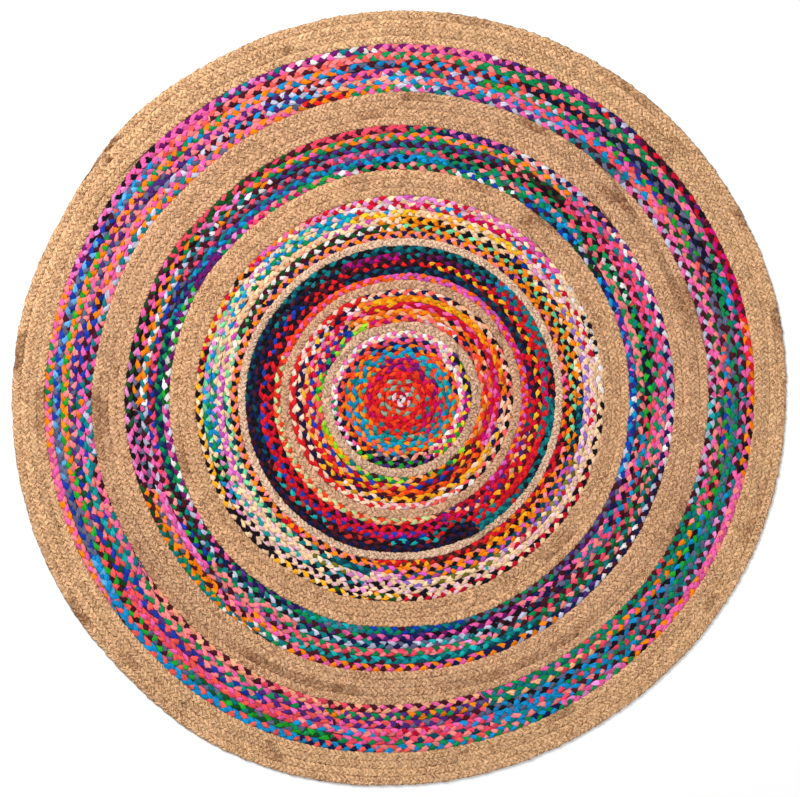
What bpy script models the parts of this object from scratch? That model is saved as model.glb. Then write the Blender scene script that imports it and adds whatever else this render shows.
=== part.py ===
"""Round floor rug, 1.83 m across: braids of cotton strips and of jute, coiled flat and sewn.

Six lengths of cotton braid and six of jute lie round each other in turn. Each length is one
solid: a disc in the middle, rings round it. Its courses, the turns of its braid, are ridges
on the top face, and the underside is flat on the surface that the rug lies on.

Metres, +Z up. The origin is under the middle of the rug's outline, on that surface.
"""

from collections import namedtuple
from math import cos, radians, sin

import bpy

# Driving dimensions, in metres.
CREST_HEIGHT = 0.009  # top of a course over the surface
GROOVE_HEIGHT = 0.0055  # bottom of the groove between two courses
RIM_HEIGHT = 0.004  # where the outermost course turns down to the surface
BAND_GAP = 0.0003  # between two lengths of braid lying side by side

# Where a course moves out by its own width, so that the length's last turn can end.
TAPER_DEG = 20

FACE_ANGLE_DEG = 60  # faces that meet at less than this are shaded as one rounded surface

# The middle colour of each length's mixed strips, and of the jute.
RED = (0.46, 0.13, 0.10)
ORANGE = (0.60, 0.18, 0.10)
BLACK_CHERRY = (0.27, 0.06, 0.065)
WHEAT = (0.53, 0.29, 0.22)
DARK_MIX = (0.26, 0.13, 0.15)
PINK_MIX = (0.34, 0.15, 0.19)
PALE_JUTE = (0.61, 0.36, 0.23)
JUTE = (0.58, 0.32, 0.18)

COTTON_ROUGHNESS = 0.85
JUTE_ROUGHNESS = 0.9

# A round form has more sides where it is large.
HEART_SIDES = 36
RIM_SIDES = 72

# One row for each length of braid, from the middle out. outer_radius is its mean one, sides
# is the number of sections round it, and end_deg is where its last turn has tapered off.
Band = namedtuple("Band", "name courses outer_radius sides end_deg colour roughness")

BANDS = (
    Band("cotton_1", 10, 0.164, HEART_SIDES, 40, RED, COTTON_ROUGHNESS),
    Band("jute_1", 1, 0.186, HEART_SIDES, 50, PALE_JUTE, JUTE_ROUGHNESS),
    Band("cotton_2", 5, 0.263, HEART_SIDES, 40, ORANGE, COTTON_ROUGHNESS),
    Band("jute_2", 1, 0.284, HEART_SIDES, 40, PALE_JUTE, JUTE_ROUGHNESS),
    Band("cotton_3", 5, 0.365, HEART_SIDES, 300, BLACK_CHERRY, COTTON_ROUGHNESS),
    Band("jute_3", 1, 0.383, HEART_SIDES, 310, PALE_JUTE, JUTE_ROUGHNESS),
    Band("cotton_4", 6, 0.482, RIM_SIDES, 270, WHEAT, COTTON_ROUGHNESS),
    Band("jute_4", 3, 0.543, RIM_SIDES, 60, JUTE, JUTE_ROUGHNESS),
    Band("cotton_5", 6, 0.647, RIM_SIDES, 245, DARK_MIX, COTTON_ROUGHNESS),
    Band("jute_5", 4, 0.725, RIM_SIDES, 55, JUTE, JUTE_ROUGHNESS),
    Band("cotton_6", 6, 0.838, RIM_SIDES, 225, PINK_MIX, COTTON_ROUGHNESS),
    Band("jute_6", 4, 0.915, RIM_SIDES, 150, JUTE, JUTE_ROUGHNESS),
)

# How far the coil is from round. Each row gives, in one direction from the coil's middle,
# how much further out a braid lies there than its mean radius, at four of the band edges.
# A column is one band edge all the way round.
Unevenness = namedtuple("Unevenness", "heart middle outer rim")

ROW_DEG = 15
UNEVEN_RADII = Unevenness(heart=0.186, middle=0.543, outer=0.725, rim=0.915)
UNEVEN_ROWS = (
    Unevenness(0.005, -0.001, 0.004, -0.004),  # 0 degrees, +X
    Unevenness(0.005, 0.001, 0.005, 0.003),
    Unevenness(0.005, 0.000, 0.003, 0.003),
    Unevenness(0.005, 0.000, 0.003, 0.004),
    Unevenness(0.002, 0.003, 0.003, 0.005),
    Unevenness(0.001, 0.001, 0.000, 0.004),
    Unevenness(-0.004, -0.001, 0.001, 0.002),  # 90 degrees, +Y
    Unevenness(-0.007, -0.003, -0.005, -0.001),
    Unevenness(-0.002, -0.007, -0.009, -0.002),
    Unevenness(-0.004, -0.006, -0.012, 0.003),
    Unevenness(-0.006, -0.001, -0.004, -0.007),
    Unevenness(-0.001, 0.001, -0.003, 0.000),
    Unevenness(-0.001, 0.003, 0.005, 0.002),  # 180 degrees
    Unevenness(-0.001, 0.003, 0.004, 0.005),
    Unevenness(-0.002, 0.005, 0.000, 0.007),
    Unevenness(-0.001, 0.006, 0.004, 0.005),
    Unevenness(0.001, 0.001, 0.009, 0.013),
    Unevenness(0.002, 0.003, 0.008, 0.008),
    Unevenness(0.000, -0.004, -0.002, -0.002),  # 270 degrees
    Unevenness(0.001, -0.002, -0.006, -0.009),
    Unevenness(0.000, -0.003, -0.006, -0.014),
    Unevenness(0.000, -0.003, -0.005, -0.013),
    Unevenness(0.000, 0.001, -0.001, -0.008),
    Unevenness(0.001, 0.001, -0.001, -0.005),
)
UNEVEN_COLUMNS = tuple(zip(*UNEVEN_ROWS))


def between_rows(values, degrees):
    """A smooth closed curve through the values, which are ROW_DEG apart."""
    row, share = divmod(degrees / ROW_DEG, 1)
    before, here, after, beyond = (values[(int(row) + k) % len(values)] for k in (-1, 0, 1, 2))
    slope_here = (after - before) / 2
    slope_after = (beyond - here) / 2
    rise = after - here
    cubed = slope_here + slope_after - 2 * rise
    squared = 3 * rise - 2 * slope_here - slope_after
    return here + share * (slope_here + share * (squared + share * cubed))


def laid_radius(mean_radius, degrees):
    """How far from the coil's middle a braid of that mean radius lies in one direction."""
    inner_radius, inner_offset = 0.0, 0.0
    for radius, column in zip(UNEVEN_RADII, UNEVEN_COLUMNS):
        offset = between_rows(column, degrees)
        if mean_radius <= radius:
            share = (mean_radius - inner_radius) / (radius - inner_radius)
            return mean_radius + inner_offset + share * (offset - inner_offset)
        inner_radius, inner_offset = radius, offset
    return mean_radius + inner_offset


def edge_radius(mean_radius, sides, section, sections):
    """The radius of a band edge that is a polygon of so many sides, at section of sections.

    Where a band has twice the sides of the one inside it, every other point of its inner
    edge lies on the middle of a side.
    """
    points_apart = sections // sides
    section_deg = 360 / sections
    if section % points_apart == 0:
        return laid_radius(mean_radius, section % sections * section_deg)
    before = laid_radius(mean_radius, (section - 1) * section_deg)
    after = laid_radius(mean_radius, (section + 1) % sections * section_deg)
    return 2 * before * after * cos(radians(section_deg)) / (before + after)


def groove_places(band, start_share, move_share):
    """Where the grooves of a band lie across it, counted in courses from its inner edge.

    move_share is how far the courses have moved out at this section. A ring's courses all
    move together in its taper. In the disc they spiral evenly near the middle, which
    start_share says, and more like a ring's the further out they are.
    """
    places = [0.0]
    for course in range(band.courses):
        outward = 1.0 if start_share is None else course / band.courses
        even = 0.0 if start_share is None else start_share
        places.append(course + outward * move_share + (1 - outward) * even)
    places.append(float(band.courses))
    return places


def ridge_profile(grooves, edge_height):
    """(place across the band, height) of the grooves and of the crests between them."""
    profile = [(grooves[0], GROOVE_HEIGHT)]
    for inner, outer in zip(grooves, grooves[1:]):
        width = min(1.0, outer - inner)
        crest = GROOVE_HEIGHT + width * (CREST_HEIGHT - GROOVE_HEIGHT)
        profile.append(((inner + outer) / 2, crest))
        profile.append((outer, GROOVE_HEIGHT))
    outer_edge = grooves[-1]
    return [(place, edge_height if place == outer_edge else z) for place, z in profile]


class Skin:
    """The points and faces of one closed solid. Points in the same place become one."""

    def __init__(self):
        self.points = []
        self.faces = []
        self.known = {}

    def point(self, radius, degrees, height):
        turn = radians(degrees)
        place = (radius * cos(turn), radius * sin(turn), height)
        key = tuple(round(value, 7) for value in place)
        if key not in self.known:
            self.known[key] = len(self.points)
            self.points.append(place)
        return self.known[key]

    def face(self, *corners):
        kept = list(dict.fromkeys(corners))
        if len(kept) > 2:
            self.faces.append(kept)


def section_points(skin, band, inner_radius, outer_radius, degrees, grooves):
    """One cut through a band: its top points from the inner edge out, and its two feet."""
    edge_height = RIM_HEIGHT if band is BANDS[-1] else GROOVE_HEIGHT
    profile = ridge_profile(grooves, edge_height)
    width = outer_radius - inner_radius
    top = [
        skin.point(inner_radius + width * place / band.courses, degrees, height)
        for place, height in profile
    ]
    return top, skin.point(inner_radius, degrees, 0), skin.point(outer_radius, degrees, 0)


def band_skin(index):
    """The solid of one length of braid, its courses moving out by one before its end."""
    band = BANDS[index]
    skin = Skin()
    section_deg = 360 / band.sides
    taper = round(TAPER_DEG / section_deg)
    end = round(band.end_deg / section_deg)

    def edges(section):
        outer = edge_radius(band.outer_radius, band.sides, section, band.sides) - BAND_GAP / 2
        if index == 0:
            return 0.0, outer
        inside = BANDS[index - 1]
        sides = min(inside.sides, band.sides)
        inner = edge_radius(inside.outer_radius, sides, section, band.sides) + BAND_GAP / 2
        return inner, outer

    def cut(step):
        """The section that is so many steps past the band's end, on its way round."""
        section = (end + step) % band.sides
        move = max(0.0, 1 - (band.sides - step) / taper)
        start = step / band.sides if index == 0 else None
        grooves = groove_places(band, start, move)
        return section_points(skin, band, *edges(section), section * section_deg, grooves)

    for step in range(band.sides):
        top, inner_foot, outer_foot = cut(step)
        next_top, next_inner_foot, next_outer_foot = cut(step + 1)
        for line in range(len(top) - 1):
            skin.face(top[line], top[line + 1], next_top[line + 1], next_top[line])
        skin.face(outer_foot, next_outer_foot, next_top[-1], top[-1])
        skin.face(top[0], next_top[0], next_inner_foot, inner_foot)
        skin.face(inner_foot, next_inner_foot, next_outer_foot, outer_foot)
    return skin


def braid_material(band):
    material = bpy.data.materials.new(band.name)
    material.use_nodes = True
    shader = material.node_tree.nodes["Principled BSDF"]
    shader.inputs["Base Color"].default_value = (*band.colour, 1.0)
    shader.inputs["Roughness"].default_value = band.roughness
    shader.inputs["Metallic"].default_value = 0.0
    return material


def coil_middle():
    """The coil's middle, which is a little off the middle of the rug's uneven outline."""
    rim = BANDS[-1]
    outline = []
    for section in range(rim.sides):
        degrees = 360 * section / rim.sides
        radius = laid_radius(rim.outer_radius, degrees)
        outline.append((radius * cos(radians(degrees)), radius * sin(radians(degrees))))
    across, along = zip(*outline)
    return -(min(across) + max(across)) / 2, -(min(along) + max(along)) / 2, 0.0


def add_band(index, rug):
    band = BANDS[index]
    skin = band_skin(index)
    mesh = bpy.data.meshes.new(band.name)
    mesh.from_pydata(skin.points, [], skin.faces)
    mesh.shade_smooth()
    mesh.set_sharp_from_angle(angle=radians(FACE_ANGLE_DEG))
    mesh.materials.append(braid_material(band))
    braid = bpy.data.objects.new(band.name, mesh)
    braid.parent = rug
    bpy.context.scene.collection.objects.link(braid)


def main():
    for thing in list(bpy.data.objects):
        bpy.data.objects.remove(thing, do_unlink=True)
    rug = bpy.data.objects.new("rug", None)
    rug.location = coil_middle()
    bpy.context.scene.collection.objects.link(rug)
    for index in range(len(BANDS)):
        add_band(index, rug)
    bpy.context.view_layer.update()


main()
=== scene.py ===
"""The looks of a round floor rug: twelve lengths of braid, plaited strand by strand.

Each length of braid replaces its plain solid. Its three strands wind through each other along
the coil that the solid's ridges show, between the edges that are read from the solids. A
cotton strand is cloth strips of many colours, one sewn to the next. A jute strand is twisted
yarns.

Metres, +Z up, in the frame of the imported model.
"""

from collections import namedtuple
from math import pi, radians

import bpy
import numpy as np
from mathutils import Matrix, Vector


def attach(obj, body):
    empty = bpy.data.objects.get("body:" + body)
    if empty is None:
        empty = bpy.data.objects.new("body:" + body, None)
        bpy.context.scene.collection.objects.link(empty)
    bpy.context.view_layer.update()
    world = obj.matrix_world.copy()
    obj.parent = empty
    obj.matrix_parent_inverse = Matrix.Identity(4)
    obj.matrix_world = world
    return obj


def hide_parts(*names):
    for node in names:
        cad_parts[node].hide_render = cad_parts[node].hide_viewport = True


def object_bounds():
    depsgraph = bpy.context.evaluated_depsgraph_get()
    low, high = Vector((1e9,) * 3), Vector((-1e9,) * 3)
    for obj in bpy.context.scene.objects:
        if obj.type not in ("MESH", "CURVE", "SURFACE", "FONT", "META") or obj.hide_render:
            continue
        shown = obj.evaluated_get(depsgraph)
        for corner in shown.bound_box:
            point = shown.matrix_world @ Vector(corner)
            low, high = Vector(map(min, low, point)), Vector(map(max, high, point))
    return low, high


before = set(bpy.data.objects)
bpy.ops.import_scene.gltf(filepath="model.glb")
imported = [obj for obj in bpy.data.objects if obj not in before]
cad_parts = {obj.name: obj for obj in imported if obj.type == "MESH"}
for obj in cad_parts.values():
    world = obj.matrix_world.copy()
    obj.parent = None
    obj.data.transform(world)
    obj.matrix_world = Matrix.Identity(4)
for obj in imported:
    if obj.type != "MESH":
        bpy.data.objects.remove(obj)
cad_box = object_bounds()

# The photograph, which looks straight down on the rug.
PHOTO_WIDTH_PX = 800
PHOTO_HEIGHT_PX = 797
RUG_WIDTH_PX = 773
RUG_MIDDLE_PX = (399.0, 398.0)
CAMERA_HEIGHT = 8.0

# The floor, which shows white under these lights.
FLOOR_HALF = 40.0
FLOOR_COLOUR = (0.86, 0.86, 0.86, 1)

# The white light from all round, and each lamp's name, place, side and watts.
AROUND_LIGHT = 0.48
LIGHTS = (
    ("key", (-2.2, 2.6, 3.2), 1.6, 225),
    ("fill", (2.8, -1.6, 3.4), 2.5, 60),
)

# A course moves out by its own width over this angle at the end of each turn.
TAPER_DEG = 20
STEPS_A_TURN = 720

STRANDS = 3
SAME_PLACE = 1e-5  # how near to the floor a solid's foot lies
LOWEST = 0.0001  # for the strands, so that none lies in the floor

# By how much a braid is uneven. pace: how fast the plait goes on; phase: where a strand turns
# over, in radians; swing: how far it goes to a side; wobble and crest: its place, sideways and
# upwards, in metres; lean: its lean, in radians; girth: its width; shade: its lobes' brightness.
Uneven = namedtuple("Uneven", "pace phase swing wobble crest lean girth shade")
COTTON_UNEVEN = Uneven(
    pace=0.18, phase=0.2, swing=0.08, wobble=0.0017, crest=0.0004, lean=0.15, girth=0.25,
    shade=0.14,
)
JUTE_UNEVEN = Uneven(
    pace=0.15, phase=0.2, swing=0.08, wobble=0.0012, crest=0.0004, lean=0.15, girth=0.18,
    shade=0.06,
)

# How a plait is made up. Shares are of the course's width, and lengths are in metres.
# swing: how far a strand goes to each side; sharp: how sharply it turns there, from 0 to 1; top,
# turn and under: how wide it is where it lies on top, turns over and passes under; lift: how far
# it goes above and below the height called middle; lean_deg: how far it tips over at the sides;
# stations: how many rings of points it has in each period; sides: how many points a ring has.
Plait = namedtuple(
    "Plait", "swing sharp top turn under thickness lift middle lean_deg stations sides uneven"
)
COTTON_PLAIT = Plait(
    swing=0.31, sharp=0.92, top=0.78, turn=0.42, under=0.80, thickness=0.0046, lift=0.0022,
    middle=0.0044, lean_deg=25, stations=9, sides=6, uneven=COTTON_UNEVEN,
)
JUTE_PLAIT = Plait(
    swing=0.37, sharp=0.94, top=0.58, turn=0.40, under=0.80, thickness=0.0044, lift=0.0017,
    middle=0.0048, lean_deg=18, stations=8, sides=5, uneven=JUTE_UNEVEN,
)
THINNER_UNDER = 0.25  # the share of its thickness that a strand loses where it passes under
LOWEST_FADE = 0.05  # the share of its height that a braid still has where it tapers off
SWING_REACH = 3  # the stations over which a strand's swing changes
LEAST_GIRTH = -0.6  # the lowest random value, of -1 to 1, that a strand's width follows
PACE_REACH = 3  # the periods over which a plait's pace changes

# The strip that closes the gaps under the strands: how many steps of the coil each of its own
# takes, between which heights it lies, how much of its outer half is left at the rug's edge, and
# its colours, which are painted shade: the dark that the deep gaps of the plait show.
BED_STEP = 8
BED_LOW = 0.0008
BED_HIGH = 0.0022
BED_AT_RIM = 0.6
COTTON_GAP_SHADE = (26, 18, 24)
JUTE_GAP_SHADE = (150, 108, 74)

# One row for each length of braid, from the middle out. end_deg is where its last turn has
# tapered off, and period is the length in which a strand comes back to its place.
Band = namedtuple("Band", "node slot plait courses end_deg period")
BANDS = (
    Band("cotton_1", "cotton_1", COTTON_PLAIT, 10, 40, 0.048),
    Band("jute_1", "jute_pale", JUTE_PLAIT, 1, 50, 0.034),
    Band("cotton_2", "cotton_2", COTTON_PLAIT, 5, 40, 0.057),
    Band("jute_2", "jute_pale", JUTE_PLAIT, 1, 40, 0.034),
    Band("cotton_3", "cotton_3", COTTON_PLAIT, 5, 300, 0.048),
    Band("jute_3", "jute_pale", JUTE_PLAIT, 1, 310, 0.034),
    Band("cotton_4", "cotton_4", COTTON_PLAIT, 6, 270, 0.051),
    Band("jute_4", "jute", JUTE_PLAIT, 3, 60, 0.034),
    Band("cotton_5", "cotton_5", COTTON_PLAIT, 6, 245, 0.056),
    Band("jute_5", "jute", JUTE_PLAIT, 4, 55, 0.034),
    Band("cotton_6", "cotton_6", COTTON_PLAIT, 6, 225, 0.058),
    Band("jute_6", "jute", JUTE_PLAIT, 4, 150, 0.034),
)
FIRST_SEED = 100  # of the random numbers, one seed for each band

# The dyes of the cotton strips, as red, green and blue of 255.
DYES = {
    "white": (232, 226, 224), "cream": (250, 208, 166), "shell": (250, 206, 178),
    "peach": (252, 172, 128), "yellow": (252, 204, 40), "amber": (250, 172, 30),
    "orange": (252, 132, 12), "tangerine": (248, 104, 22), "coral": (248, 92, 84),
    "salmon": (254, 136, 136), "rose": (240, 72, 98), "vermilion": (240, 66, 28),
    "red": (226, 30, 34), "brick": (186, 42, 36), "crimson": (202, 14, 48),
    "magenta": (200, 14, 112), "orchid": (206, 84, 184), "pink": (242, 96, 166),
    "lilac": (232, 138, 204), "blush": (248, 196, 206), "lavender": (190, 190, 214),
    "violet": (148, 112, 206), "purple": (80, 42, 120), "plum": (112, 20, 104),
    "maroon": (72, 22, 36), "brown": (90, 46, 30), "black": (24, 18, 26),
    "navy": (20, 28, 74), "royal": (22, 60, 168), "azure": (14, 142, 204),
    "sky": (96, 172, 230), "grey": (98, 100, 130), "teal": (12, 122, 128),
    "petrol": (8, 74, 88), "turquoise": (24, 172, 172), "mint": (116, 210, 152),
    "sage": (138, 168, 146), "pistachio": (196, 218, 150), "green": (14, 138, 80),
    "leaf": (36, 164, 44), "bottle": (22, 80, 36), "lime": (152, 216, 32),
    "olive": (122, 118, 40),
}

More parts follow.
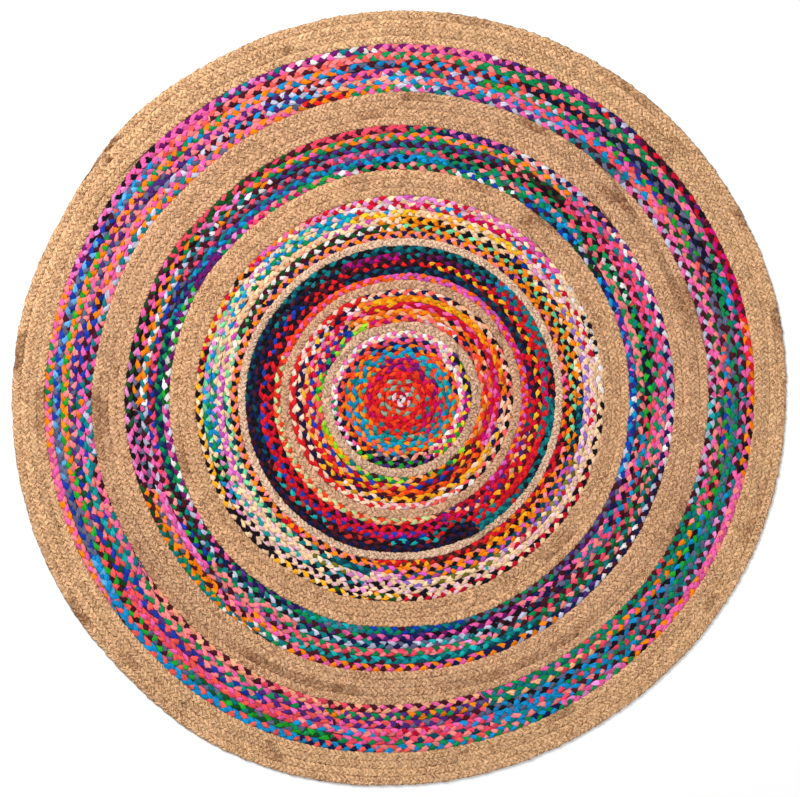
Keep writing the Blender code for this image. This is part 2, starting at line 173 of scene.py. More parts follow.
# The strips of each course, the outermost first, with a semicolon between courses. A run of
# strips goes on, counter-clockwise from +X, until the degree at its head, and names the
# colours that the three strands take in turn.
CHART = {
    "cotton_6": """
13 orange pink red orange salmon maroon, 29 crimson maroon magenta, 48 maroon plum black crimson,
 56 lavender navy red plum, 73 pink navy plum pink purple maroon,
 95 plum pink salmon plum white pink, 113 plum pink teal white, 122 pink lilac plum teal,
 160 pink plum pink pink black lilac, 170 orange salmon pink, 188 orange salmon green pink,
 215 pink salmon orange pink salmon pink, 245 azure coral azure,
 266 azure coral azure azure coral navy, 284 salmon azure green coral, 292 azure salmon green,
 298 azure navy green, 310 pink green lilac, 318 pink green black orange,
 330 pink orange pink pink orange maroon, 347 pink orange pink pink salmon pink,
 360 orange black pink;
15 pink teal maroon, 22 teal green azure pink, 28 pink green maroon, 42 salmon green pink,
 77 green salmon green, 90 green coral salmon, 102 coral salmon coral coral green salmon,
 124 salmon coral maroon, 135 pink coral salmon, 147 sky coral pink grey azure,
 168 royal sky grey maroon, 180 royal sky grey, 193 grey sky grey grey white royal,
 207 royal grey grey, 215 azure royal grey azure azure sky, 232 leaf grey coral maroon,
 250 leaf grey teal bottle, 258 green leaf bottle grey, 270 maroon rose green pink,
 285 rose petrol salmon, 300 rose teal salmon azure, 315 azure teal salmon maroon,
 325 teal maroon pink, 345 azure teal maroon lilac teal maroon, 360 teal maroon pink;
14 green grey maroon, 22 green black green, 55 navy grey black, 68 black coral navy,
 91 azure coral maroon, 101 azure coral grey maroon, 118 azure orange salmon,
 130 green azure orange salmon, 152 green orange salmon plum, 180 orange leaf salmon,
 193 orange leaf salmon orange leaf orange, 205 coral leaf grey pink, 215 leaf coral maroon,
 251 coral pink rose, 270 pink rose azure salmon, 286 rose azure rose crimson salmon pink,
 300 azure rose grey azure, 311 azure green rose grey, 325 grey green rose teal,
 345 grey green teal, 360 green grey teal;
8 azure coral grey maroon, 25 coral grey maroon grey, 36 leaf coral purple grey,
 45 leaf coral royal purple, 60 green leaf purple pink, 75 green coral leaf lavender,
 91 green lavender purple coral, 101 purple pink coral lavender, 115 purple coral lavender maroon,
 135 purple pink salmon, 150 purple salmon purple grey, 165 purple salmon grey pink,
 180 purple grey royal salmon, 192 purple salmon grey bottle, 205 purple bottle royal salmon,
 215 royal bottle pink rose, 245 royal salmon teal royal coral purple, 258 coral purple pink,
 270 pink purple maroon coral, 285 grey purple rose maroon, 322 azure grey black,
 340 black azure leaf grey, 350 grey coral leaf maroon, 360 leaf grey coral royal;
33 pink bottle salmon, 46 azure pink coral salmon, 72 azure coral pink azure salmon rose,
 90 azure salmon lavender coral, 105 azure salmon peach, 115 lavender purple maroon azure,
 130 azure salmon maroon lavender pink, 138 lavender azure pink grey, 160 orange pink salmon,
 180 teal orange maroon royal pink, 190 orange teal pink royal, 200 teal pink turquoise salmon,
 215 coral teal royal turquoise, 244 salmon green salmon salmon green pink,
 256 salmon green purple pink, 270 green purple orange salmon, 286 green orange purple grey,
 300 green peach teal, 311 green peach rose, 325 green pink orange teal,
 340 green teal orange green teal salmon, 345 pink green rose, 360 pink bottle salmon teal;
44 lavender pink maroon, 60 teal maroon pink grey, 85 teal lavender pink purple,
 99 orange maroon lavender pink green, 108 orange maroon red, 130 orange pink grey salmon,
 150 teal lavender pink orange, 166 teal pink lavender salmon, 180 teal maroon pink,
 190 lavender pink teal, 200 pink teal salmon maroon, 215 pink teal salmon, 244 peach maroon salmon,
 266 maroon salmon rose peach, 285 maroon pink peach, 292 pink teal green, 306 teal pink green,
 315 teal rose green, 325 green maroon teal, 340 rose teal maroon green, 345 teal maroon lavender,
 360 lavender maroon turquoise pink
""",
    "cotton_5": """
22 navy pink white navy pink lavender, 46 navy pink white purple salmon black,
 65 navy salmon white maroon pink lavender, 80 purple pink navy, 88 rose green navy pink,
 110 rose maroon rose, 128 rose bottle maroon, 137 bottle rose bottle, 148 rose bottle rose,
 186 bottle black lilac bottle maroon pink, 198 lilac black pink, 207 bottle orange maroon,
 215 teal salmon bottle orange, 226 green orange teal, 245 orange teal white green,
 276 orange pink maroon, 299 orange pink navy orange navy lavender, 306 orange navy lavender,
 318 navy purple lavender, 345 navy white maroon navy lavender purple,
 360 navy purple white navy pink white;
50 pink teal rose, 58 orange salmon teal, 81 orange salmon green, 91 orange pink green,
 108 orange salmon green, 127 orange pink green, 140 pink bottle lilac, 151 orange pink green black,
 170 orange pink black, 182 orange grey black, 200 black orange grey black pink grey,
 215 maroon orange salmon grey, 226 orange maroon orange, 245 salmon maroon orange pink,
 270 turquoise salmon teal turquoise maroon teal, 301 turquoise teal petrol, 345 teal salmon bottle,
 360 teal salmon pink;
12 pink rose teal pink maroon green, 50 rose maroon pink, 66 maroon salmon black bottle,
 120 purple teal maroon, 136 teal orange white maroon, 160 teal white maroon teal lavender orange,
 181 orange white teal, 188 lavender teal maroon pink, 201 pink lavender maroon,
 221 pink lilac pink, 245 maroon salmon grey pink, 276 salmon green rose,
 291 salmon green lilac rose, 300 rose teal maroon salmon, 336 rose green maroon,
 350 pink maroon green salmon, 360 pink rose green;
12 black leaf navy, 22 black rose leaf teal, 36 leaf black rose green black white,
 50 green black rose, 66 green rose black, 80 green black rose, 90 rose grey green,
 106 grey rose teal pink, 150 maroon grey rose, 160 maroon grey royal rose,
 181 rose royal pink maroon, 200 royal rose pink maroon, 211 salmon royal green maroon,
 222 leaf royal salmon black, 245 salmon green salmon, 266 navy teal lavender,
 286 lavender turquoise navy grey, 301 teal black lavender maroon, 312 grey teal maroon navy,
 325 salmon grey teal maroon, 336 pink azure rose maroon, 350 rose teal maroon azure,
 360 rose black leaf azure;
5 salmon green bottle, 31 salmon green salmon, 41 salmon maroon salmon green, 51 azure teal salmon,
 61 salmon grey teal green azure, 71 green teal azure grey salmon, 78 green teal azure navy,
 95 azure teal azure azure navy teal, 111 azure teal purple, 150 teal azure purple,
 160 teal azure navy purple, 200 green petrol navy, 215 teal maroon bottle black,
 225 lavender teal maroon navy, 245 lavender teal black, 262 pink purple maroon green,
 276 pink purple navy, 300 pink plum black, 316 pink maroon salmon navy, 336 salmon teal pink navy,
 346 salmon teal pink black, 360 salmon teal salmon maroon;
15 royal azure purple pink, 22 royal azure pink purple, 31 navy royal lavender azure,
 41 bottle navy lavender maroon, 51 royal azure navy teal, 61 green royal maroon teal,
 76 green royal maroon white, 90 green maroon salmon, 100 green black rose, 106 green pink white,
 116 leaf green pink salmon, 131 green magenta salmon rose, 141 green lilac plum,
 151 plum purple plum, 160 plum leaf lavender, 181 leaf plum white bottle, 190 pink plum lavender,
 205 purple pink plum white green, 215 green pink maroon lavender, 225 navy green maroon pink,
 245 navy green purple, 251 green teal turquoise, 261 teal green turquoise grey,
 271 royal green maroon teal, 286 teal royal petrol, 296 grey maroon teal, 312 green maroon grey,
 340 purple grey maroon, 348 azure lavender royal, 360 royal azure white purple
""",
    "cotton_4": """
24 cream black cream cream cream white, 38 cream white cream,
 70 cream orchid pink cream lilac salmon, 90 lilac orchid cream crimson lilac cream,
 108 lilac crimson cream, 120 lilac salmon cream crimson,
 133 crimson orchid cream pink orange orchid, 137 orange crimson orchid,
 146 black crimson orange cream, 165 amber crimson cream, 172 crimson black amber cream,
 200 black amber cream, 230 black cream black amber cream black, 250 cream black amber,
 260 amber cream bottle black, 270 bottle amber crimson cream, 279 cream black crimson,
 291 crimson black cream pink blush cream, 312 black cream crimson, 340 cream crimson black,
 360 cream crimson cream cream black cream;
12 cream blush cream cream crimson cream, 24 crimson cream blush crimson cream cream,
 33 crimson cream blush, 38 azure crimson cream, 54 azure crimson blush,
 69 crimson lilac cream magenta, 79 azure crimson cream lilac blush, 90 crimson cream pink,
 105 azure blush crimson white, 118 azure cream blush turquoise, 135 cream azure white mint,
 144 cream lilac white azure, 153 azure mint cream, 165 mint white cream lilac,
 180 mint lilac cream azure, 196 mint azure green cream, 205 azure cream green black,
 212 azure cream lilac black, 270 black blush cream black lilac cream,
 297 cream blush black cream turquoise white, 345 cream cream blush, 351 blush cream cream,
 360 cream blush crimson;
16 violet blush cream, 30 amber violet cream blush, 50 amber blush cream lilac,
 59 yellow cream amber, 85 amber cream peach cream, 91 yellow amber cream,
 96 azure cream yellow blush, 105 yellow azure cream orange, 118 azure turquoise cream,
 131 azure cream green, 141 azure green cream, 160 cream green cream cream azure cream,
 172 cream mint cream, 181 green azure cream lilac, 187 azure green lilac, 196 azure teal cream,
 207 green cream black lilac, 240 blush cream turquoise, 258 blush cream black teal,
 270 cream black lilac, 281 cream violet cream, 295 cream violet cream cream olive blush,
 305 violet cream olive blush, 316 crimson violet cream salmon, 330 olive violet crimson cream,
 340 violet cream olive crimson, 360 violet blush cream;
8 orange navy cream, 25 orange cream black orange navy cream,
 45 black cream orange navy cream orange, 51 royal black orange,
 76 cream orange black peach cream black, 90 cream black orange amber, 97 cream orange cream,
 170 cream orchid cream cream peach cream, 208 orchid lilac cream, 240 cream blush cream,
 252 blush cream olive white, 270 blush cream lilac, 286 petrol orange orchid,
 301 orange petrol orchid orange purple petrol, 336 orange petrol orchid, 341 orchid petrol orange,
 350 orange petrol black, 360 teal orange navy petrol;
78 mint orange black, 89 orange maroon white mint, 96 orange white bottle cream,
 152 bottle white maroon, 159 white mint bottle maroon, 166 mint cream white, 178 cream mint cream,
 215 petrol mint cream, 232 mint petrol cream, 246 teal petrol cream black, 260 petrol teal petrol,
 270 petrol orange orchid, 300 orange black salmon, 345 orange black salmon orange black amber,
 360 mint black orange;
8 pink maroon crimson orange, 36 orange maroon orange salmon maroon orange,
 49 orange pink orange navy, 145 navy orange salmon, 215 orange black salmon,
 225 orange salmon black, 233 red orange crimson, 262 orange black salmon orange maroon pink,
 270 red crimson orange, 301 brick amber brown red maroon brick, 345 crimson orange maroon red,
 360 orange black crimson
""",
    "cotton_3": """
14 teal black brick black petrol teal, 25 teal petrol brick, 35 teal brick teal,
 50 teal brick azure crimson, 90 teal black petrol, 150 black petrol black teal black petrol,
 181 black navy petrol, 300 black navy maroon, 315 teal black teal brick petrol teal,
 345 teal black teal teal brick petrol, 360 teal petrol teal teal brick black;
15 crimson magenta red teal, 35 red crimson teal maroon, 50 crimson teal red plum,
 60 teal black plum, 90 maroon plum black maroon teal plum, 113 maroon plum magenta,
 121 teal maroon navy teal black, 150 maroon navy teal black, 181 navy maroon black,
 205 black navy petrol, 240 brick black turquoise maroon, 265 brick black maroon,
 285 black turquoise brick navy, 300 black navy maroon, 312 red teal crimson,
 345 red crimson red red teal crimson, 360 crimson magenta red teal;
78 amber red black, 115 red maroon black, 135 black red maroon, 142 black royal navy,
 165 black navy royal red, 181 red black crimson royal, 260 royal red crimson,
 281 royal crimson magenta, 300 red crimson teal black, 309 red teal black crimson,
 360 amber crimson maroon;
20 crimson maroon red navy, 60 navy petrol maroon, 115 navy petrol black, 165 red black maroon,
 240 red crimson black, 281 magenta crimson black red, 300 red crimson black magenta,
 331 purple crimson red peach, 346 red crimson peach purple, 360 red crimson petrol;
20 tangerine red orchid crimson, 35 pink tangerine magenta, 60 pink tangerine orchid,
 95 tangerine pink orchid, 125 vermilion pink tangerine, 160 vermilion pink vermilion,
 181 vermilion red pistachio, 200 vermilion peach pistachio, 270 peach vermilion pistachio,
 284 peach pistachio red, 300 crimson purple peach magenta, 313 peach maroon crimson red,
 330 orchid crimson magenta, 346 orange orchid crimson, 360 tangerine crimson orchid
""",
    "cotton_2": """
15 peach black coral shell, 60 shell black peach shell black coral, 86 shell navy peach coral,
 108 coral shell navy peach, 135 red shell navy red red shell, 158 red shell red red blush shell,
 235 red shell red, 260 shell red shell, 290 shell coral blush, 301 coral white shell,
 321 black coral shell black coral white, 345 black coral shell, 360 black shell peach;
8 orange maroon tangerine, 35 orange amber vermilion, 106 orange amber orange amber,
 114 orange coral amber, 122 blush white maroon, 133 maroon navy red, 150 navy white amber,
 162 white vermilion navy blush, 175 navy maroon shell, 235 navy amber blush navy shell maroon,
 260 navy shell amber blush, 301 shell amber maroon amber shell blush, 331 amber shell navy amber,
 345 navy shell amber, 360 shell navy peach;
15 crimson magenta pink, 110 crimson pink crimson crimson amber crimson, 135 crimson pink red peach,
 160 crimson peach pink red, 181 crimson peach amber, 215 red amber crimson peach,
 232 vermilion crimson amber, 255 amber maroon crimson amber, 331 vermilion maroon tangerine,
 345 pink lilac magenta, 360 crimson vermilion pink;
18 coral tangerine pink, 60 tangerine black peach orange,
 125 peach orange tangerine peach orange brown, 131 navy royal peach, 151 crimson peach royal,
 235 royal crimson peach, 270 crimson peach royal amber, 331 royal crimson maroon amber,
 360 crimson magenta tangerine;
30 vermilion coral crimson peach, 55 navy coral vermilion white, 78 navy coral blush peach,
 86 magenta coral orange, 96 orange magenta coral navy, 113 magenta vermilion coral,
 125 lime peach lime, 131 royal magenta teal, 145 green magenta lime, 160 navy magenta green,
 193 lime coral lime lime leaf coral, 200 magenta lime coral, 207 lime orange lime,
 230 amber lime orange, 245 lime teal peach, 275 lime green peach maroon,
 290 orange maroon peach lime, 310 lime green orange maroon, 325 orange lime maroon,
 360 orange tangerine vermilion peach
""",
    "cotton_1": """
40 purple black yellow leaf, 180 cream white pink, 230 green white pink black,
 300 yellow leaf black purple pink, 360 purple black leaf yellow magenta;
50 cream pink white, 110 navy coral pink, 180 navy vermilion coral, 240 vermilion navy orange,
 300 salmon grey black peach, 360 peach pink grey magenta white;
60 navy orange vermilion coral, 120 vermilion orange azure navy, 180 orange vermilion teal,
 270 orange coral azure, 360 orange vermilion turquoise;
60 azure turquoise orange vermilion, 130 azure turquoise vermilion, 220 azure teal orange,
 300 azure orange turquoise, 360 azure teal vermilion;
60 teal vermilion turquoise, 120 vermilion teal magenta plum, 220 vermilion turquoise orange,
 300 turquoise teal vermilion sage, 360 magenta vermilion teal;
120 magenta vermilion plum, 220 crimson magenta vermilion, 300 red vermilion teal,
 360 crimson vermilion magenta;
200 crimson red vermilion, 300 vermilion red crimson, 360 crimson red teal;
360 vermilion red crimson sage;
360 vermilion red vermilion sage;
360 vermilion blush crimson sage;
360 white blush black crimson
""",
}


def read_course(text):
    """A course's runs, each as the angle where it ends and its colours."""
    runs = [run.split() for run in text.split(",")]
    return [(int(end_deg), strips) for end_deg, *strips in runs]


STRIPS = {node: [read_course(text) for text in chart.split(";")] for node, chart in CHART.items()}

# A strip's usual length, and the shortest and longest as shares of it. It counts where a run has
# more than three colours.
STRIP_LENGTH = 0.30
SHORTEST_STRIP = 0.6
LONGEST_STRIP = 1.4

# The jute's colours, as red, green and blue of 255.
STRAW = {
    "jute_1": (213, 176, 148), "jute_2": (208, 165, 133), "jute_3": (229, 195, 167),
    "jute_4": (218, 174, 133), "jute_5": (215, 172, 133), "jute_6": (222, 180, 137),
}
BROWN = (136, 84, 48)

# How a brightness or a share changes along a strand: by how much, and over how many stations.
Change = namedtuple("Change", "amount reach")
SLOW_SHADE = Change(0.06, 60)
QUICK_SHADE = Change(0.04, 4)
BROWN_CHANGE = Change(0.6, 4)
COURSE_SHADE = 0.07  # by how much one course of jute may be lighter or darker than its length
LOBE_SHADES = (0.6, 1.3)  # the darkest and the lightest that one lobe of a strand may be

# Where a length is browner: in which course, counted from the outermost as 0, between which
# angles, and by how much. A patch fades out around each end, over a quarter of its length.
PATCH_FADE = 0.25
PATCHES = {
    "jute_4": (
        (0, 46, 55, 0.5), (1, 50, 56, 0.4), (0, 66, 73, 0.4),
        (0, 98, 104, 0.3), (0, 192, 200, 0.4), (1, 312, 322, 0.3),
    ),
    "jute_5": (
        (0, 13, 22, 0.4), (1, 14, 33, 0.3), (1, 38, 47, 0.55),
        (2, 42, 46, 0.4), (0, 60, 67, 0.5), (0, 84, 90, 0.4),
        (2, 93, 99, 0.4), (0, 178, 192, 0.4), (1, 180, 187, 0.4),
        (0, 196, 232, 0.25), (1, 236, 262, 0.45), (1, 280, 310, 0.3),
        (0, 330, 345, 0.3),
    ),
    "jute_6": (
        (0, 9, 14, 0.5), (0, 26, 30, 0.5), (1, 40, 44, 0.4),
        (0, 48, 59, 0.4), (0, 76, 82, 0.3), (2, 107, 109, 0.5),
        (0, 137, 141, 0.6), (0, 170, 176, 0.5), (3, 178, 190, 0.4),
        (0, 211, 216, 0.5), (1, 222, 226, 0.4), (1, 249, 252, 0.4),
        (1, 325, 328, 0.4), (1, 338, 348, 0.3), (3, 295, 299, 0.4),
    ),
}


def linear(colour):
    """Light of a colour that is given as red, green and blue of 255."""
    share = np.asarray(colour, float) / 255
    return np.where(share <= 0.04045, share / 12.92, ((share + 0.055) / 1.055) ** 2.4)


def wander(rng, count, reach):
    """count smooth random values of about -1 to 1. They change over about reach places."""
    knots = rng.uniform(-1, 1, int(count / reach) + 3)
    place = np.arange(count) / reach
    row = place.astype(int)
    ease = (1 - np.cos((place - row) * pi)) / 2
    return knots[row] * (1 - ease) + knots[row + 1] * ease


# ---- The coil, read from the solids.


def foot_points(node):
    """The points of a solid that stand on the floor, once each, as an array of (x, y)."""
    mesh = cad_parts[node].data
    places = np.array([point.co for point in mesh.vertices])
    return np.unique(places[places[:, 2] < SAME_PLACE][:, :2].round(5), axis=0)


def coil_middle():
    """Where the lines between opposite feet of the middle solid cross."""
    feet = foot_points(BANDS[0].node)
    away = feet - feet.mean(axis=0)
    feet = feet[np.arctan2(away[:, 1], away[:, 0]).argsort()]
    across = feet - np.roll(feet, len(feet) // 2, axis=0)
    normals = across[:, ::-1] * (-1, 1)
    return np.linalg.lstsq(normals, (normals * feet).sum(axis=1), rcond=None)[0]


MIDDLE = coil_middle()


def outer_edge(band):
    """The radii of a solid's outer edge, from +X round, at even angles."""
    feet = foot_points(band.node) - MIDDLE
    degrees = np.round(np.degrees(np.arctan2(feet[:, 1], feet[:, 0])), 1) % 360
    radii = np.hypot(feet[:, 0], feet[:, 1])
    return np.array([radii[degrees == section].max() for section in np.unique(degrees)])


EDGES = {band.node: outer_edge(band) for band in BANDS}


def edge_radius(index, turns):
    """How far out the outer edge of a band lies there, on a smooth curve through its corners."""
    if index < 0:
        return np.zeros_like(turns)
    radii = EDGES[BANDS[index].node]
    row, share = np.divmod(turns * len(radii), 1)
    row = row.astype(int)
    before, here, after, beyond = (radii[(row + k) % len(radii)] for k in (-1, 0, 1, 2))
    slope_here = (after - before) / 2
    slope_after = (beyond - here) / 2
    rise = after - here
    cubed = slope_here + slope_after - 2 * rise
    squared = 3 * rise - 2 * slope_here - slope_after
    return here + share * (slope_here + share * (squared + share * cubed))


def course_edge(index, turns):
    """Where a braid's outer side lies across its band, in courses, after so many turns.

    A ring's braid moves out at the end of each turn. The disc's spirals evenly near the
    middle, and the more like a ring's the further out it is.
    """
    courses = BANDS[index].courses
    whole, part = np.divmod(turns, 1)
    move = np.clip(1 - (1 - part) * 360 / TAPER_DEG, 0, 1)
    move = move * move * (3 - 2 * move)
    outward = whole / courses if index == 0 else 1.0
    return np.clip(whole + outward * move + (1 - outward) * part, 0, courses)


# Along a braid: its turns and its length so far, its place, the way outward, and its width.
Coil = namedtuple("Coil", "turns length x y out_x out_y width")


def braid_line(index):
    """The middle line of a braid, from its start inside to its end outside."""
    band = BANDS[index]
    start = 0.0 if index == 0 else 1 - TAPER_DEG / 360
    end = band.courses + 1.0
    turns = np.linspace(start, end, round((end - start) * STEPS_A_TURN) + 1)
    inner = course_edge(index, turns - 1)
    outer = course_edge(index, turns)
    outer[-1] = band.courses
    around = turns + band.end_deg / 360
    inside = edge_radius(index - 1, around)
    outside = edge_radius(index, around)
    course = (outside - inside) / band.courses
    radius = inside + course * (inner + outer) / 2
    x = MIDDLE[0] + radius * np.cos(2 * pi * around)
    y = MIDDLE[1] + radius * np.sin(2 * pi * around)
    step_x = np.gradient(x)
    step_y = np.gradient(y)
    step = np.hypot(step_x, step_y)
    length = np.concatenate([[0], np.cumsum(np.hypot(np.diff(x), np.diff(y)))])
    return Coil(turns, length, x, y, step_y / step, -step_x / step, course * (outer - inner))


def at_stations(line, length):
    """The braid's middle line at these lengths along it."""
    columns = {
        name: np.interp(length, line.length, column)
        for name, column in line._asdict().items()
    }
    return Coil(**columns)


def course_and_angle(band, here):
    """Each station's course, counted from the outermost as 0, and its angle in degrees."""
    course = band.courses - np.floor(here.turns + TAPER_DEG / 360 / 2).astype(int)
    return course, (here.turns * 360 + band.end_deg) % 360


# ---- The plait.


def is_cotton(band):
    return band.plait is COTTON_PLAIT


def corner_turns(sides):
    """Where a strand's corners are round it. All but one lie on its upper half."""
    return [*np.linspace(0, pi, sides - 1), 3 * pi / 2]


def strand_rings(band, line, rng):
    """The points of the three strands, as strands x stations x sides x (x, y, z)."""
    plait = band.plait
    uneven = plait.uneven
    lobe = plait.stations / 2
    third = plait.stations / 3
    count = round(line.length[-1] / band.period) * plait.stations
    pace = 1 + uneven.pace * wander(rng, count, PACE_REACH * plait.stations)
    length = np.concatenate([[0], np.cumsum(pace)])
    length *= line.length[-1] / length[-1]
    count += 1
    here = at_stations(line, length)
    fade = np.clip(here.width / np.median(line.width), LOWEST_FADE, 1)

    rings = np.empty((STRANDS, count, plait.sides, 3))
    phases = np.arange(count) * 2 * pi / plait.stations
    for strand in range(STRANDS):
        phase = phases + 2 * pi * strand / STRANDS
        phase = phase + uneven.phase * wander(rng, count, lobe)
        side = np.arcsin(plait.sharp * np.sin(phase)) / np.arcsin(plait.sharp)
        height = -np.sin(2 * phase)
        swing = plait.swing * here.width * (1 + uneven.swing * wander(rng, count, SWING_REACH))
        aside = swing * side + uneven.wobble * wander(rng, count, plait.stations)
        middle = np.stack([
            here.x + aside * here.out_x,
            here.y + aside * here.out_y,
            fade * (plait.middle + plait.lift * height)
            + uneven.crest * fade * wander(rng, count, third),
        ], axis=-1)
        along = np.gradient(middle, axis=0)
        along /= np.linalg.norm(along, axis=-1, keepdims=True)
        wide = np.cross(along, (0.0, 0.0, 1.0))
        wide /= np.linalg.norm(wide, axis=-1, keepdims=True)
        upward = np.cross(wide, along)
        lean = radians(plait.lean_deg) * side * (1 + height) / 2
        lean = (lean + uneven.lean * wander(rng, count, third))[:, None]
        wide, upward = (
            np.cos(lean) * wide - np.sin(lean) * upward,
            np.sin(lean) * wide + np.cos(lean) * upward,
        )
        girth = 1 + uneven.girth * np.maximum(wander(rng, count, third), LEAST_GIRTH)
        top = np.maximum(height, 0)
        under = np.maximum(-height, 0)
        girth *= plait.turn + (plait.top - plait.turn) * top + (plait.under - plait.turn) * under
        half_wide = (here.width * girth / 2)[:, None]
        half_thick = (plait.thickness * fade * (1 - THINNER_UNDER * under) / 2)[:, None]
        for corner, turn in enumerate(corner_turns(plait.sides)):
            rings[strand, :, corner] = (
                middle + half_wide * np.cos(turn) * wide + half_thick * np.sin(turn) * upward
            )
    rings[..., 2] = np.maximum(rings[..., 2], LOWEST)
    return rings, here


def strip_colours(band, here, rng):
    """The dye of each strand at each station, from the runs of its course."""
    length = here.length
    names = list(DYES)
    lights = np.array([linear(DYES[name]) for name in names])
    courses = STRIPS[band.node]
    course, degrees = course_and_angle(band, here)
    course = np.clip(course, 0, len(courses) - 1)
    picked = np.empty((STRANDS, len(length)), int)
    most = int(length[-1] * STRANDS / STRIP_LENGTH / SHORTEST_STRIP) + STRANDS
    joins = np.cumsum(rng.uniform(SHORTEST_STRIP, LONGEST_STRIP, most)) * STRIP_LENGTH / STRANDS
    for strand in range(STRANDS):
        swaps = np.searchsorted(joins[strand::STRANDS], length)
        for station, (row, angle, swap) in enumerate(zip(course, degrees, swaps)):
            strips = next(strips for end_deg, strips in courses[row] if angle <= end_deg)
            name = strips[(strand + STRANDS * swap) % len(strips)]
            picked[strand, station] = names.index(name)
    return lights[picked]


def jute_colours(band, here, rng):
    """The straw colour of each strand at each station, mixed with brown in the patches."""
    count = len(here.length)

    def changed(change):
        return change.amount * wander(rng, count, change.reach)

    course, degrees = course_and_angle(band, here)
    share = np.zeros(count)
    for browner, start_deg, end_deg, most in PATCHES.get(band.node, ()):
        half = (end_deg - start_deg) / 2
        away = np.abs(degrees - start_deg - half) / half
        near = np.clip((1 + PATCH_FADE - away) / (2 * PATCH_FADE), 0, 1)
        share = np.maximum(share, most * near * (course == browner))
    straw = linear(STRAW[band.node])
    brown = linear(BROWN)
    own = rng.uniform(-COURSE_SHADE, COURSE_SHADE, band.courses + 2)
    colours = np.empty((STRANDS, count, 3))
    for strand in range(STRANDS):
        shade = 1 + changed(SLOW_SHADE) + changed(QUICK_SHADE) + own[course]
        mixed = np.clip(share * (1 + changed(BROWN_CHANGE)), 0, 1)[:, None]
        colours[strand] = (straw * (1 - mixed) + brown * mixed) * shade[:, None]
    return colours


def lobe_shades(band, count, rng):
    """A slight difference in brightness from one lobe of a strand to its next."""
    plait = band.plait
    lobe = plait.stations / 2
    shades = rng.normal(1.0, plait.uneven.shade, (STRANDS, int(count / lobe) + 2))
    return shades.clip(*LOBE_SHADES)[:, (np.arange(count) / lobe).astype(int)][..., None]


def shadow_strip_rings(band, line):
    """The points of a thin dark strip of painted shade under the strands, which closes the gaps
    between courses.
    """
    rows = np.unique([*range(0, len(line.length), BED_STEP), len(line.length) - 1])
    here = Coil(*(column[rows] for column in line))
    inside = -here.width / 2
    outside = here.width / 2
    if band is BANDS[-1]:
        outside = np.where(here.turns >= band.courses, BED_AT_RIM * outside, outside)
    corners = ((inside, BED_LOW), (outside, BED_LOW), (outside, BED_HIGH), (inside, BED_HIGH))
    rings = np.empty((1, len(rows), len(corners), 3))
    for corner, (aside, height) in enumerate(corners):
        rings[0, :, corner, 0] = here.x + aside * here.out_x
        rings[0, :, corner, 1] = here.y + aside * here.out_y
        rings[0, :, corner, 2] = height
    return rings, here


# ---- The meshes.

# One or more closed tubes of the same make, laid in so many rows of the map for baking.
Tubes = namedtuple("Tubes", "rings colours length rows")
ROW_MARGIN = 0.04  # the share of a row that stays free on each side


def tube_faces(tubes):
    """Each side face's four points, and each of its corners' strand, station and side."""
    strands, stations, sides = tubes.rings.shape[:3]
    strand, station, side = np.indices((strands, stations - 1, sides))
    ahead = np.array([0, 1, 1, 0])
    aside = np.array([0, 0, 1, 1])
    strand, station, side = (part.reshape(-1, 1) for part in (strand, station, side))
    point = (strand * stations + station + ahead) * sides + (side + aside) % sides
    return point, strand + 0 * ahead, station + ahead, side + aside


def tube_ends(tubes):
    """The points of the face that closes each end of each tube."""
    strands, stations, sides = tubes.rings.shape[:3]
    ends = []
    for first in range(0, strands * stations * sides, stations * sides):
        last = first + (stations - 1) * sides
        ends.append(np.arange(first, first + sides))
        ends.append(np.arange(last + sides - 1, last - 1, -1))
    return ends


def tube_corners(tubes, first_row, all_rows):
    """The colour and the place on both maps of each corner, the end faces' last."""
    strands, stations, sides = tubes.rings.shape[:3]
    length = tubes.length
    strand, station, side = tube_faces(tubes)[1:]
    spare = np.zeros((2 * strands * sides, 2))

    colours = tubes.colours[strand, station[:, :1]].reshape(-1, 3)
    colours = np.concatenate([colours, np.repeat(tubes.colours[:, -1], 2 * sides, axis=0)])

    place = np.stack([length[station] + strand * length[-1], side / sides], axis=-1)

    row_faces = -(-strands * stations // tubes.rows)
    row = (strand[:, :1] * stations + station[:, :1]) // row_faces
    along = (strand * stations + station - row * row_faces) / row_faces
    across = ROW_MARGIN + (1 - 2 * ROW_MARGIN) * side / sides
    bake = np.stack([along, (first_row + row + across) / all_rows], axis=-1)
    maps = (np.concatenate([part.reshape(-1, 2), spare]) for part in (place, bake))
    return colours, *maps


def set_map(mesh, name, places):
    mesh.uv_layers.new(name=name).uv.foreach_set("vector", places.ravel())


def braid_mesh(name, groups):
    """One mesh of groups of tubes, with a colour and a place along and round for each corner."""
    points, faces, corners = [], [], []
    first_point, first_row = 0, 0
    all_rows = sum(tubes.rows for tubes in groups)
    for tubes in groups:
        points.append(tubes.rings.reshape(-1, 3))
        faces += [(face + first_point).tolist() for face in tube_faces(tubes)[0]]
        faces += [(end + first_point).tolist() for end in tube_ends(tubes)]
        corners.append(tube_corners(tubes, first_row, all_rows))
        first_point += len(points[-1])
        first_row += tubes.rows
    colours, place, bake = (np.concatenate(parts) for parts in zip(*corners))
    mesh = bpy.data.meshes.new(name)
    mesh.from_pydata(np.concatenate(points), [], faces)
    mesh.shade_smooth()
    layer = mesh.color_attributes.new("strip", "FLOAT_COLOR", "CORNER")
    layer.data.foreach_set("color", np.column_stack([colours, np.ones(len(colours))]).ravel())
    set_map(mesh, "strand", place)
    set_map(mesh, "OFBake", bake)
    return mesh


# ---- Materials.

# A noise in a strand's surface: how often it changes in a metre along the strand and in once
# round it, its layers of detail, and their strength.
Grain = namedtuple("Grain", "along around detail roughness")

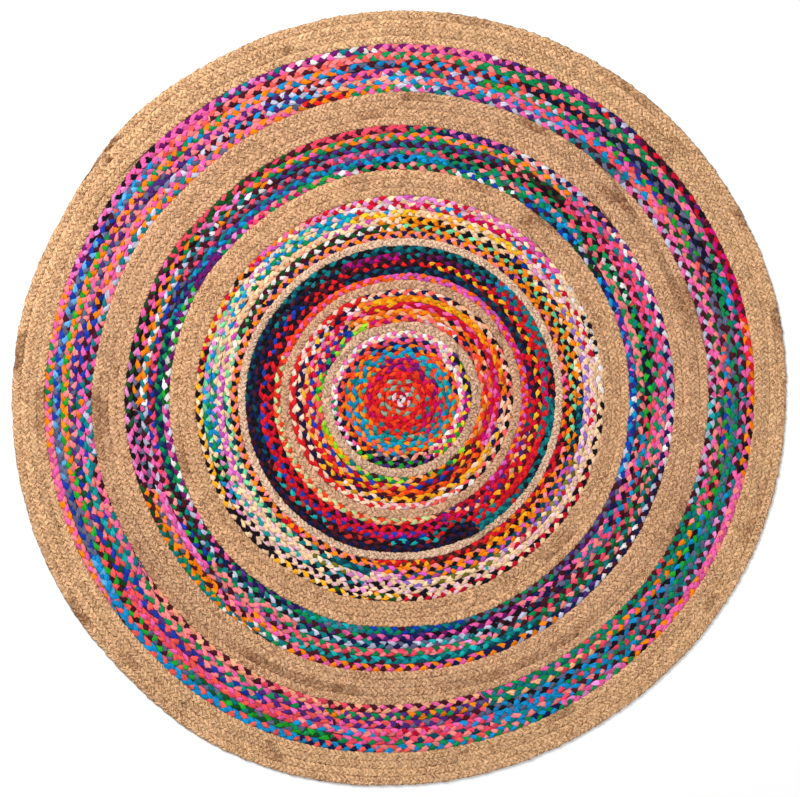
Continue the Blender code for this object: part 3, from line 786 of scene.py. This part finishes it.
# The two values that a ramp starts and ends at, and what it makes of them.
Ramp = namedtuple("Ramp", "first last makes_first makes_last")

# The depths are the relief's, in metres.
CREASES = Grain(45, 9, 3.0, 0.6)
# Painted shade in the creases' hollows and painted light on their ridges, from the noise of their
# relief.
CREASE_LIGHT_AND_SHADE = Ramp(0.32, 0.68, 0.56, 1.28)
CREASE_DEPTH = 0.0014
FLUFF = Grain(260, 34, 2.0, 0.5)
FLUFF_SHARE = Ramp(0.72, 0.80, 0.0, 0.25)
FLUFF_COLOUR = (0.85, 0.80, 0.78, 1)
WEAVE_ALONG = 9000  # radians of the weave's wave in a metre
WEAVE_AROUND = 200  # radians of it in once round
WEAVE_HEIGHT = 0.10  # of the creases' height

YARNS = 9  # in a jute strand, round its outside
YARN_TURN = 0.15  # the length in which they twist once round
YARN_CROWN = Ramp(0.5, 0.15, 0.0, 1.0)  # from a yarn's side, half its width out, to its top
# Painted shade in the grooves between the yarns, lightest on their tops.
YARN_GROOVE_SHADE = Ramp(0.0, 1.0, 0.50, 1.03)
YARN_DEPTH = 0.0007
YARN_GRAIN = 130  # how often a yarn's tint changes in a metre
YARN_APART = 7.3  # how far the yarns lie from each other in the noise that tints them
TINT_SHADE = Ramp(0.30, 0.56, 0.20, 1.0)
FIBRES = Grain(90, 26, 3.0, 0.6)
FIBRE_SHADE = Ramp(0.32, 0.60, 0.62, 1.04)
FIBRE_HEIGHT = 0.4  # of the yarns' height
FLECK_SCALE = 2.3  # how much smaller flecks are than tints
FLECK_SHARE = Ramp(0.60, 0.68, 0.0, 0.8)
FLECK_COLOUR = (0.20, 0.075, 0.028, 1)
FLECKY_SCALE = 9.0  # how often flecky areas of the rug come in a metre
FLECKY_MORE = Ramp(0.45, 0.75, 0.0, 0.12)
DARK_STRAW = 0.45
LIGHT_STRAW = 1.34

# The painted shade towards a strand's edges: none near its upper middle, deepest at its edges.
CREST_AROUND = 1 / 3  # how far round a strand its upper middle lies, about
UNSHADED_TOP = 0.20  # how far round from there it stays light
CLOTH_ROUGHNESS = 0.9
SHEEN_ROUGHNESS = 0.5
SPECULAR = 0.1


class Shader:
    """A material's nodes, added one by one and joined as they are."""

    def __init__(self, name):
        self.material = bpy.data.materials.new(name)
        self.material.use_nodes = True
        self.tree = self.material.node_tree
        self.principled = self.tree.nodes["Principled BSDF"]

    def add(self, kind, inputs=None, **settings):
        made = self.tree.nodes.new(kind)
        for key, value in settings.items():
            setattr(made, key, value)
        for key, value in (inputs or {}).items():
            self.put(made.inputs[key], value)
        return made

    def put(self, socket, value):
        if isinstance(value, bpy.types.NodeSocket):
            self.tree.links.new(value, socket)
        else:
            socket.default_value = value

    def maths(self, operation, *values):
        made = self.add("ShaderNodeMath", operation=operation)
        for socket, value in zip(made.inputs, values):
            self.put(socket, value)
        return made.outputs[0]

    def times(self, first, second):
        return self.maths("MULTIPLY", first, second)

    def noise(self, place, scale, detail, roughness=0.5):
        made = self.add(
            "ShaderNodeTexNoise",
            {"Vector": place, "Scale": scale, "Detail": detail, "Roughness": roughness},
        )
        return made.outputs["Fac"]

    def grain(self, place, grain):
        scale = (grain.along, grain.around, 1.0)
        stretched = self.add("ShaderNodeMapping", {"Vector": place, "Scale": scale}).outputs[0]
        return self.noise(stretched, 1.0, grain.detail, grain.roughness)

    def axis(self, vector, number):
        return self.add("ShaderNodeSeparateXYZ", {"Vector": vector}).outputs[number]

    def scaled(self, colour, factor):
        made = self.add("ShaderNodeVectorMath", operation="SCALE")
        self.put(made.inputs[0], colour)
        self.put(made.inputs["Scale"], factor)
        return made.outputs[0]

    def ramp(self, value, ramp):
        made = self.add("ShaderNodeMapRange", {
            "Value": value, "From Min": ramp.first, "From Max": ramp.last,
            "To Min": ramp.makes_first, "To Max": ramp.makes_last,
        })
        return made.outputs[0]

    def mix(self, share, first, second, blend="MIX"):
        made = self.add("ShaderNodeMix", data_type="RGBA", blend_type=blend)
        # The node has sockets for numbers too, so those for colours are 6 and 7, and output 2.
        for number, value in ((0, share), (6, first), (7, second)):
            self.put(made.inputs[number], value)
        return made.outputs[2]

    def painted_edge_shade(self, around, darkest):
        """Painted shade towards a strand's edges, where it tucks in by its neighbours."""
        away = self.maths("ABSOLUTE", self.maths("SUBTRACT", around, CREST_AROUND))
        return self.ramp(away, Ramp(UNSHADED_TOP, CREST_AROUND, 1.0, darkest))

    def finish(self, colour, height, depth, sheen):
        bump = self.add("ShaderNodeBump", {"Height": height, "Distance": depth})
        self.put(self.principled.inputs["Base Color"], colour)
        self.put(self.principled.inputs["Normal"], bump.outputs[0])
        self.principled.inputs["Roughness"].default_value = CLOTH_ROUGHNESS
        self.principled.inputs["Sheen Weight"].default_value = sheen
        self.principled.inputs["Sheen Roughness"].default_value = SHEEN_ROUGHNESS
        self.principled.inputs["Specular IOR Level"].default_value = SPECULAR
        return self.material


def cotton_material():
    """Strips of dyed cotton cloth, folded lengthwise: creases, a fine weave, and loose fluff."""
    shader = Shader("cotton_strips")
    dye = shader.add("ShaderNodeVertexColor", layer_name="strip").outputs["Color"]
    place = shader.add("ShaderNodeUVMap", uv_map="strand").outputs[0]
    creases = shader.grain(place, CREASES)
    fluff = shader.grain(place, FLUFF)
    threads_along = shader.maths("SINE", shader.times(shader.axis(place, 0), WEAVE_ALONG))
    threads_around = shader.maths("SINE", shader.times(shader.axis(place, 1), WEAVE_AROUND))
    weave = shader.times(threads_along, threads_around)
    height = shader.maths("ADD", creases, shader.times(weave, WEAVE_HEIGHT))
    # Painted shade in the hollows of the creases and painted light on their ridges.
    shade = shader.ramp(creases, CREASE_LIGHT_AND_SHADE)
    # Painted shade towards the strand's edges.
    shade = shader.times(shade, shader.painted_edge_shade(shader.axis(place, 1), darkest=0.42))
    colour = shader.scaled(dye, shade)
    colour = shader.mix(shader.ramp(fluff, FLUFF_SHARE), colour, FLUFF_COLOUR)
    return shader.finish(colour, height, CREASE_DEPTH, sheen=0.01)


def jute_material():
    """Strands of jute yarns that twist a little, each yarn its own shade, with brown flecks."""
    shader = Shader("jute_yarn")
    straw = shader.add("ShaderNodeVertexColor", layer_name="strip").outputs["Color"]
    place = shader.add("ShaderNodeUVMap", uv_map="strand").outputs[0]
    spot = shader.add("ShaderNodeTexCoord").outputs["Object"]
    along = shader.axis(place, 0)
    around = shader.axis(place, 1)
    twist = shader.times(along, YARNS / YARN_TURN)
    yarn = shader.maths("ADD", shader.times(around, YARNS), twist)
    across = shader.maths("FRACT", yarn)
    number = shader.maths("WRAP", shader.maths("FLOOR", yarn), 0.0, YARNS)
    from_middle = shader.maths("ABSOLUTE", shader.maths("SUBTRACT", across, 0.5))
    crown = shader.ramp(from_middle, YARN_CROWN)
    own = shader.add("ShaderNodeCombineXYZ", {
        "X": shader.times(along, YARN_GRAIN), "Y": shader.times(number, YARN_APART),
    }).outputs[0]
    tint = shader.noise(own, 1.0, 1.0)
    fibres = shader.grain(place, FIBRES)
    flecks = shader.noise(own, FLECK_SCALE, 1.0)
    areas = shader.noise(spot, FLECKY_SCALE, 3.0, 0.6)
    height = shader.maths("ADD", crown, shader.times(fibres, FIBRE_HEIGHT))
    # Painted shade in the grooves between yarns, times each yarn's own tint and the fibres' grain.
    shade = shader.times(shader.ramp(crown, YARN_GROOVE_SHADE), shader.ramp(tint, TINT_SHADE))
    shade = shader.times(shade, shader.ramp(fibres, FIBRE_SHADE))
    # Painted shade towards the strand's edges.
    shade = shader.times(shade, shader.painted_edge_shade(around, darkest=0.86))
    # The shade, part painted shade in the grooves and at the edges and part the yarns' own tints,
    # takes the straw from a dark brown to a lighter straw.
    dark = shader.scaled(shader.mix(1.0, straw, straw, "MULTIPLY"), DARK_STRAW)
    colour = shader.mix(shade, dark, shader.scaled(straw, LIGHT_STRAW))
    flecks = shader.maths("ADD", flecks, shader.ramp(areas, FLECKY_MORE))
    colour = shader.mix(shader.ramp(flecks, FLECK_SHARE), colour, FLECK_COLOUR)
    return shader.finish(colour, height, YARN_DEPTH, sheen=0.05)


# ---- The pieces.


def add_braid(index, materials):
    band = BANDS[index]
    plait = band.plait
    rng = np.random.default_rng(FIRST_SEED + index)
    line = braid_line(index)
    rings, here = strand_rings(band, line, rng)
    paint = strip_colours if is_cotton(band) else jute_colours
    colours = paint(band, here, rng) * lobe_shades(band, len(here.length), rng)
    girth = pi * (plait.top * np.median(line.width) + plait.thickness) / 2
    rows = round((STRANDS * here.length[-1] / girth) ** 0.5)
    # A dark strip of painted shade under the strands, seen through the gaps between them.
    bed, bed_line = shadow_strip_rings(band, line)
    shade = linear(COTTON_GAP_SHADE if is_cotton(band) else JUTE_GAP_SHADE)
    shades = np.broadcast_to(shade, (1, len(bed_line.length), 3))
    groups = [Tubes(rings, colours, here.length, rows), Tubes(bed, shades, bed_line.length, 1)]
    mesh = braid_mesh("braid_" + band.node, groups)
    mesh.materials.append(materials[plait])
    braid = bpy.data.objects.new("braid_" + band.node, mesh)
    bpy.context.scene.collection.objects.link(braid)
    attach(braid, "root")
    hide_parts(band.node)


def add_camera():
    """Straight above the rug, far off with a long lens, with the photograph's top at +Y."""
    low, high = cad_box
    pixel = (high.x - low.x) / RUG_WIDTH_PX
    data = bpy.data.cameras.new("camera")
    data.lens = data.sensor_width * CAMERA_HEIGHT / (PHOTO_WIDTH_PX * pixel)
    camera = bpy.data.objects.new("camera", data)
    camera.location = (
        (PHOTO_WIDTH_PX / 2 - RUG_MIDDLE_PX[0]) * pixel,
        (RUG_MIDDLE_PX[1] - PHOTO_HEIGHT_PX / 2) * pixel,
        high.z / 2 + CAMERA_HEIGHT,
    )
    bpy.context.scene.collection.objects.link(camera)
    bpy.context.scene.camera = camera


def add_floor():
    signs = ((-1, -1), (1, -1), (1, 1), (-1, 1))
    corners = [(x * FLOOR_HALF, y * FLOOR_HALF, 0.0) for x, y in signs]
    mesh = bpy.data.meshes.new("floor")
    mesh.from_pydata(corners, [], [(0, 1, 2, 3)])
    floor = bpy.data.objects.new("floor", mesh)
    shader = Shader("floor")
    shader.principled.inputs["Base Color"].default_value = FLOOR_COLOUR
    shader.principled.inputs["Roughness"].default_value = CLOTH_ROUGHNESS
    mesh.materials.append(shader.material)
    bpy.context.scene.collection.objects.link(floor)


def add_light(name, place, side, watts):
    """A square soft light at a place, turned to the rug's middle."""
    data = bpy.data.lights.new(name, "AREA")
    data.shape = "SQUARE"
    data.size = side
    data.energy = watts
    light = bpy.data.objects.new(name, data)
    light.location = place
    light.rotation_euler = (-Vector(place)).to_track_quat("-Z", "Y").to_euler()
    bpy.context.scene.collection.objects.link(light)


def add_studio():
    world = bpy.data.worlds.new("studio")
    world.use_nodes = True
    background = world.node_tree.nodes["Background"]
    background.inputs["Color"].default_value = (1, 1, 1, 1)
    background.inputs["Strength"].default_value = AROUND_LIGHT
    bpy.context.scene.world = world
    for light in LIGHTS:
        add_light(*light)
    bpy.context.scene.view_settings.view_transform = "Standard"


materials = {COTTON_PLAIT: cotton_material(), JUTE_PLAIT: jute_material()}
for index in range(len(BANDS)):
    add_braid(index, materials)
add_camera()
add_floor()
add_studio()
